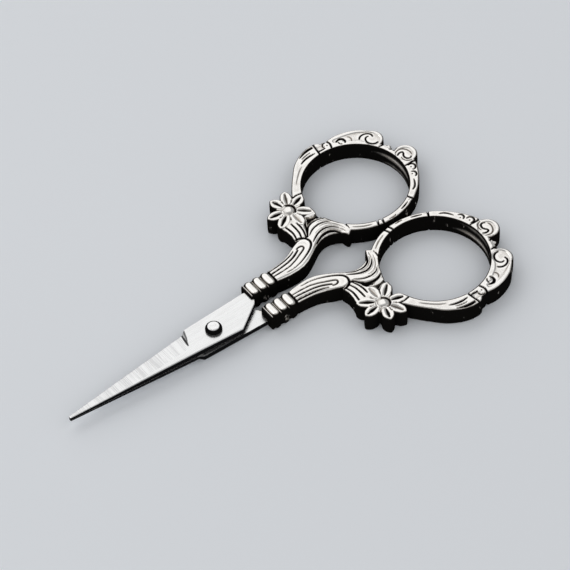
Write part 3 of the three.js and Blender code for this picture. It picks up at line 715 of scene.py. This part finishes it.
def pieceFrom(name, points, faces, marks, body, node, finish, crease=180):
    mesh = bpy.data.meshes.new(name)
    mesh.from_pydata(points.tolist(), [], [tuple(face) for face in faces])
    for label, values in marks.items():
        mesh.attributes.new(label, "FLOAT", "POINT").data.foreach_set("value", values.astype(np.float32))
    mesh.polygons.foreach_set("use_smooth", np.ones(len(faces), bool))
    mesh.materials.append(finish)
    mesh.update()
    mesh.set_sharp_from_angle(angle=radians(crease))
    piece = bpy.data.objects.new(name, mesh)
    bpy.context.scene.collection.objects.link(piece)
    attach(piece, body)
    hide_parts(node)


silverLook = {
    "bright": (0.985, 0.96, 0.925), "shade": (0.66, 0.625, 0.585),
    "brown": (0.42, 0.32, 0.22), "patinaAndShadeColour": (0.006, 0.0055, 0.005), "brownShare": 2.2,
    "cloudScale": 700, "fineScale": 5600, "wornScale": 620, "wornStretch": (1, 1, 0.45),
    "recessDark": (0.14, 0.45), "wallDark": (0.4, 0.85), "worn": (0.62, 0.71), "wornThrough": 0.72,
    "darkCloud": 0.3, "darkFine": 2.6, "darkRange": (0.05, 0.95),
    "shadeFrom": (-0.08, 0.06), "shadeCloud": 0.9, "shadeFine": 1.0, "shadeRange": (0.0, 1.15),
    "rough": 0.16, "roughFine": 0.14, "bump": 0.25, "bumpDepth": 0.00006,
}


def antiqueSilver(s):
    f = Finish("antique_silver")
    spot = f.place()
    cloud, fine = f.noise(spot, s["cloudScale"], 4), f.noise(spot, s["fineScale"], 3)
    recess, ink, wall = f.attribute("recess"), f.attribute("ink"), f.attribute("wall")
    worn = f.noise(f.place(s["wornStretch"]), s["wornScale"], 5, 0.7).ramp(*s["worn"])
    # the walls are painted dark, standing in for shade and dark reflections; worn spots let the metal show
    # through
    walls = wall.ramp(*s["wallDark"]) * (1 - worn * s["wornThrough"])
    # tarnish in hollows, with the painted shade and the painted dark walls
    dark = recess.ramp(*s["recessDark"]).larger(ink).larger(walls)
    # uneven where it thins
    spread = (cloud - 0.5) * s["darkCloud"] * dark + (fine - 0.5) * s["darkFine"] * dark * (1 - dark)
    dark = (dark + spread).ramp(*s["darkRange"])
    grey = recess.ramp(*s["shadeFrom"]) + (cloud - 0.5) * s["shadeCloud"] + (fine - 0.5) * s["shadeFine"]
    metal = f.mix(grey.ramp(*s["shadeRange"]), s["bright"], s["shade"])  # painted shade in recesses, mottled by noise; rims stay brightest
    metal = f.mix(dark * (1 - dark) * s["brownShare"], metal, s["brown"])  # thin patina is brown
    normal = f.bump(0.7 * cloud + 0.3 * fine, s["bump"], s["bumpDepth"])
    return f.wear(Base_Color=f.mix(dark, metal, s["patinaAndShadeColour"]), Metallic=1 - dark, Specular_IOR_Level=0.0,
                  Roughness=s["rough"] + (fine - 0.5) * s["roughFine"], Normal=normal)


steelLook = {
    "bright": (0.97, 0.97, 0.965), "shade": (0.86, 0.86, 0.855), "flatRange": (0.3, 0.7),
    "groundBright": (0.945, 0.945, 0.94), "groundShade": (0.72, 0.72, 0.72), "groundRange": (0.36, 0.62),
    # edge is the colour of the painted dark walls
    "stain": (0.62, 0.47, 0.3), "stainRange": (0.3, 0.65), "edge": (0.008, 0.008, 0.009),
    # how much finer than a metre along each axis, turn in degrees, detail, roughness of the noise
    "brushing": ((180, 2300, 700), -28, 5, 0.65),
    "grinding": ((4200, 170, 300), -4, 4, 0.65), "grindBands": ((900, 60, 100), -4, 2, 0.55),
    "bandShare": 0.45, "cloudScale": 260, "wallDark": (0.5, 0.95),
    "rough": 0.27, "roughLines": 0.22, "roughCloud": 0.08, "bump": 0.22, "bumpDepth": 0.00003,
}


# brushed along the flats, cross-ground towards the cutting edge
def brushedSteel(s):
    f = Finish("brushed_steel")

    def lines(stretch, turn, detail, rough):
        return f.noise(f.place(stretch, (0, 0, radians(turn))), 1.0, detail, rough)

    ground, wall, ink = f.attribute("ground"), f.attribute("wall"), f.attribute("ink")
    brushed, cloud = lines(*s["brushing"]), f.noise(f.place(), s["cloudScale"], 3)
    crossed = lines(*s["grinding"]) * (1 - s["bandShare"]) + lines(*s["grindBands"]) * s["bandShare"]
    flat = f.mix(brushed.ramp(*s["flatRange"]), s["shade"], s["bright"])
    cut = f.mix(crossed.ramp(*s["groundRange"]), s["groundShade"], s["groundBright"])
    metal = f.mix(ground, flat, cut)
    metal = f.mix(f.attribute("stain") * cloud.ramp(*s["stainRange"]), metal, s["stain"])
    # walls painted dark, standing in for shade and dark reflections, with the painted shade of the plunge
    dark = wall.ramp(*s["wallDark"]).larger(ink)
    scratches = brushed * (1 - ground) + crossed * ground
    rough = s["rough"] + (scratches - 0.5) * s["roughLines"] + (cloud - 0.5) * s["roughCloud"]
    return f.wear(Base_Color=f.mix(dark, metal, s["edge"]), Metallic=1 - dark, Specular_IOR_Level=0.0,
                  Roughness=rough, Normal=f.bump(scratches, s["bump"], s["bumpDepth"]))


rivetLook = {
    # edge is the colour of the painted dark sides
    "bright": (0.96, 0.96, 0.955), "dull": (0.84, 0.835, 0.82), "edge": (0.006, 0.006, 0.006),
    "wornScale": 1500, "worn": (0.35, 0.75), "wallDark": (0.15, 0.9),
    "rough": 0.12, "roughWorn": 0.12, "bump": 0.1, "bumpDepth": 0.00003,
}


def polishedRivet(s):
    f = Finish("polished_rivet")
    worn = f.noise(f.place(), s["wornScale"], 4)
    metal = f.mix(worn.ramp(*s["worn"]), s["bright"], s["dull"])
    # sides painted dark, standing in for shade and dark reflections
    dark = f.attribute("wall").ramp(*s["wallDark"])
    normal = f.bump(worn, s["bump"], s["bumpDepth"])
    return f.wear(Base_Color=f.mix(dark, metal, s["edge"]), Metallic=1 - dark, Specular_IOR_Level=0.0,
                  Roughness=s["rough"] + worn * s["roughWorn"], Normal=normal)


silver, steel, rivetSteel = antiqueSilver(silverLook), brushedSteel(steelLook), polishedRivet(rivetLook)
print("finishes made")


# the lower half is the upper one turned over about the long axis
def bothHalves(points):
    for side, turn in (("upper", 1), ("lower", -1)):
        yield side, points * mm * np.array((1, turn, turn)) + np.array(pivot)


castingSettings = {
    "plan": ((9.0, 59.2), (0.1, 27.2)), "step": 0.09, "face": 2.05, "draft": 0.07, "paintedRimShade": 0.85,
    "forms": (shank, spray, stems, flowerLimb, knuckle,
              broadScroll, sideLimb, smallScroll, curlLimb, slimLimb),
}


def castingMesh(s):
    r = Relief(*s["plan"], s["step"], reliefSettings)
    castCollar(r, collarSettings)
    castFlower(r, flowerSettings)
    for form in s["forms"]:
        carve(r, form)
    r.bore(fingerHole["centre"], fingerHole["radius"])
    r.close(s["face"])
    points, faces, marks = r.mesh(s["draft"], s["paintedRimShade"])
    # painted sheen streaks in the finger hole
    marks["wall"] -= paintedBoreSheen(points, boreSheenSettings)
    return points, faces, marks


points, faces, marks = castingMesh(castingSettings)
for side, placed in bothHalves(points):
    name, body, node = side + "_casting", side + "_half", side + "_handle"
    pieceFrom(name, placed, faces, marks, body, node, silver)
print("castings:", len(points), "points,", len(faces), "faces each")

bladeSettings = {
    "plan": ((-33.0, 10.8), (-4.0, 4.4)), "step": 0.085, "paintedRimShade": 0.585, "crease": 40,
    "inner": 0.03, "hole": 1.09,
    "outline": [(-32.4, -0.36), (4.4, -3.37), (9.75, 0.4), (10.3, 1.2), (10.3, 3.7), (9.8, 3.84),
                (-4.55, 3.38), (-5.35, 2.85), (-32.4, 0.39)],
    # against x
    "thick": ((-32.4, 0.54), (-27, 0.67), (-21, 0.86), (-12, 1.07), (-4.6, 1.2)),
    "edge": ((-32.4, 0.39), (-5.35, 2.85)),
    "border": ((-32.4, -0.3), (-29, -0.72), (-25, -1.02), (-21, -1.2), (-17, -1.32), (-13, -1.28),
               (-9, -1.1), (-7, -1.0), (-6.2, -0.6), (-5, -0.1)),
    "drop": ((-32.4, 0.06), (-20, 0.2), (-5, 0.3)), "hollow": 0.85, "riseMost": 1.2,
    # x of each line against y
    "plungeRear": ((-0.4, -6.1), (3.35, -4.6)), "plungeFront": ((-0.4, -6.3), (2.85, -5.47)),
    "bevel": 0.22, "bevelDrop": 0.16, "edgeBreak": 0.2, "edgeBreakDrop": 0.05, "grindFade": 0.15,
    # painted shade along the plunge and on its facet: path, half widths, fade, darkness
    "plungeShade": [
        ([(-5.52, 2.76), (-5.72, 1.6), (-5.9, 0.3), (-6.05, -0.35)], [0.1, 0.17, 0.16, 0.07], 0.08, 0.95),
        ([(-4.68, 3.28), (-5.0, 2.4), (-5.32, 1.42), (-5.8, 0.3)], [0.12, 0.15, 0.13, 0.06], 0.08, 0.8),
        ([(-5.1, 2.95), (-5.42, 1.9), (-5.8, 0.6)], [0.28, 0.2, 0.1], 0.1, 0.35),
    ],
    "stain": (9.1, 10.0), "stainShare": 0.7,  # beside the collar
}


# outer face: flat by the spine, ground away towards the edge from a leaning plunge beside the rivet
def bladeMesh(s):
    r = Relief(*s["plan"], s["step"], reliefSettings)
    r.plate(s["outline"])
    x, y = r.x, r.y
    border, edge = between(x, s["border"]), between(x, s["edge"])
    into = rising(x, between(y, s["plungeRear"]), between(y, s["plungeFront"]))
    rise = np.clip((y - border) / (edge - border), 0, s["riseMost"])
    ground = between(x, s["drop"]) * rise ** s["hollow"] * into
    bevel = rising(edge - y, s["bevel"], 0) * s["bevelDrop"] * into
    corner = rising(r.inside, s["edgeBreak"], 0)
    # painted shade along the plunge
    for path, halves, fade, ink in s["plungeShade"]:
        r.groove(path, halves, 0, fade, ink, 0)
    r.height = s["inner"] + between(x, s["thick"]) - ground - bevel - s["edgeBreakDrop"] * corner * corner
    r.recess = np.zeros(x.shape)
    r.bore((0, 0), s["hole"])
    points, faces, marks = r.mesh(0, s["paintedRimShade"], s["inner"])
    marks["ground"] = r.sample(into * rising(y, border, border + s["grindFade"]), points[:, 0], points[:, 1])
    marks["stain"] = s["stainShare"] * rising(points[:, 0], *s["stain"]) ** 2
    # the rim of the inner face is painted dark too
    inner = np.abs(points[:, 2] - s["inner"]) < 1e-6
    marks["wall"][inner & (marks["wall"] > 0)] = 1
    return points, faces, marks


points, faces, marks = bladeMesh(bladeSettings)
for side, placed in bothHalves(points):
    name, body, node = side + "_steel_blade", side + "_half", side + "_blade"
    pieceFrom(name, placed, faces, marks, body, node, steel, bladeSettings["crease"])
print("blades:", len(points), "points each")

# radius, height above the middle plane and painted dark, head first: the sides are painted dark as shade and
# dark reflections, with a thin painted lighter line near the foot
rivetSettings = {
    "turns": 72,
    "profile": [(0, 2.29, 0), (0.5, 2.285, 0), (0.9, 2.255, 0), (1.08, 2.225, 0.05), (1.16, 2.2, 0.9),
                (1.38, 2.08, 1), (1.52, 1.93, 1), (1.61, 1.75, 1), (1.64, 1.58, 1), (1.64, 1.47, 0.95),
                (1.64, 1.4, 0.6), (1.63, 1.33, 0.97), (1.6, 1.26, 1), (1.05, 1.26, 1), (1.05, -1.26, 1),
                (1.6, -1.26, 1), (1.64, -1.36, 1), (1.6, -1.48, 0.9), (1.42, -1.62, 0.4), (1.1, -1.71, 0.1),
                (0.75, -1.745, 0), (0.4, -1.76, 0), (0, -1.76, 0)],
}


def turnRivet(s):
    turns, (head, *rows, tail) = s["turns"], s["profile"]
    points, dark, faces = [(0, 0, head[1])], [head[2]], []
    for radius, height, tone in rows:
        points += [(*polar((0, 0), radius, 360 * k / turns), height) for k in range(turns)]
        dark += [tone] * turns
    points.append((0, 0, tail[1]))
    dark.append(tail[2])
    first, last, end = 1, 1 + (len(rows) - 1) * turns, len(points) - 1
    for k in range(turns):
        after = (k + 1) % turns
        faces += [(0, first + k, first + after), (end, last + after, last + k)]
        for row in range(first, last, turns):
            faces.append((row + k, row + turns + k, row + turns + after, row + after))
    return np.array(points), faces, {"wall": np.array(dark, float)}


points, faces, marks = turnRivet(rivetSettings)
placed = points * mm + np.array(pivot)
pieceFrom("domed_rivet", placed, faces, marks, "lower_half", "pivot_rivet", rivetSteel)
print("rivet turned")

floorSettings = {
    "size": 6.0, "colour": (0.87, 0.895, 0.93), "rough": 0.6,
    "drift": 0.98, "driftScale": 3, "driftRange": (0.3, 0.7),
}


def layFloor(s):
    f = Finish("plain_floor")
    drift = f.noise(f.place(), s["driftScale"], 2)
    colour = f.mix(drift.ramp(*s["driftRange"]), s["colour"], tuple(s["drift"] * c for c in s["colour"]))
    half = s["size"] / 2
    corners = [(-half, -half, 0), (half, -half, 0), (half, half, 0), (-half, half, 0)]
    mesh = bpy.data.meshes.new("floor")
    mesh.from_pydata(corners, [], [(0, 1, 2, 3)])
    mesh.materials.append(f.wear(Base_Color=colour, Roughness=s["rough"]))
    floor = bpy.data.objects.new("floor", mesh)
    bpy.context.scene.collection.objects.link(floor)


layFloor(floorSettings)

lampSettings = {
    "sky": (0.355, 0.36, 0.365), "panelSize": 0.8,
    # where each panel stands and how bright its face is
    "panels": (("back_panel", (0.163, 0.568, 0.462), 0.615), ("left_panel", (-0.501, 0.313, 0.462), 0.58),
               ("front_panel", (-0.411, -0.425, 0.462), 0.5), ("right_panel", (0.395, -0.439, 0.462), 0.5)),
}


def lightStudio(s):
    world = bpy.data.worlds.new("studio")
    world.use_nodes = True
    world.node_tree.nodes["Background"].inputs["Color"].default_value = (*s["sky"], 1)
    bpy.context.scene.world = world
    for name, spot, glow in s["panels"]:
        lamp = bpy.data.lights.new(name, "AREA")
        lamp.shape, lamp.size = "SQUARE", s["panelSize"]
        lamp.energy = glow * pi * s["panelSize"] ** 2  # watts for that glow
        panel = bpy.data.objects.new(name, lamp)
        panel.location = spot
        panel.rotation_mode = "QUATERNION"
        panel.rotation_quaternion = Vector(spot).to_track_quat("Z", "Y")
        bpy.context.scene.collection.objects.link(panel)


lightStudio(lampSettings)

cameraSettings = {
    "azimuth": -33.089, "elevation": 49.536, "roll": -4.167,
    "target": (0.00548, 0.00281, 0), "distance": 0.4258, "lens": 139.45, "sensor": 36, "clip": (0.01, 20),
}


def aimCamera(s):
    a, e, roll = radians(s["azimuth"]), radians(s["elevation"]), radians(s["roll"])
    back = Vector((sin(a) * cos(e), -cos(a) * cos(e), sin(e)))
    side = (-back).cross(Vector((0, 0, 1))).normalized()
    rise = side.cross(-back)
    right = cos(roll) * side + sin(roll) * rise
    up = -sin(roll) * side + cos(roll) * rise
    data = bpy.data.cameras.new("photo_camera")
    data.lens, data.sensor_width = s["lens"], s["sensor"]
    data.clip_start, data.clip_end = s["clip"]
    camera = bpy.data.objects.new("photo_camera", data)
    camera.matrix_world = Matrix((right, up, back)).transposed().to_4x4()
    camera.location = Vector(s["target"]) + back * s["distance"]
    bpy.context.scene.collection.objects.link(camera)
    bpy.context.scene.camera = camera


aimCamera(cameraSettings)
bpy.context.scene.view_settings.view_transform = "Standard"
print("floor, lamps and camera set")
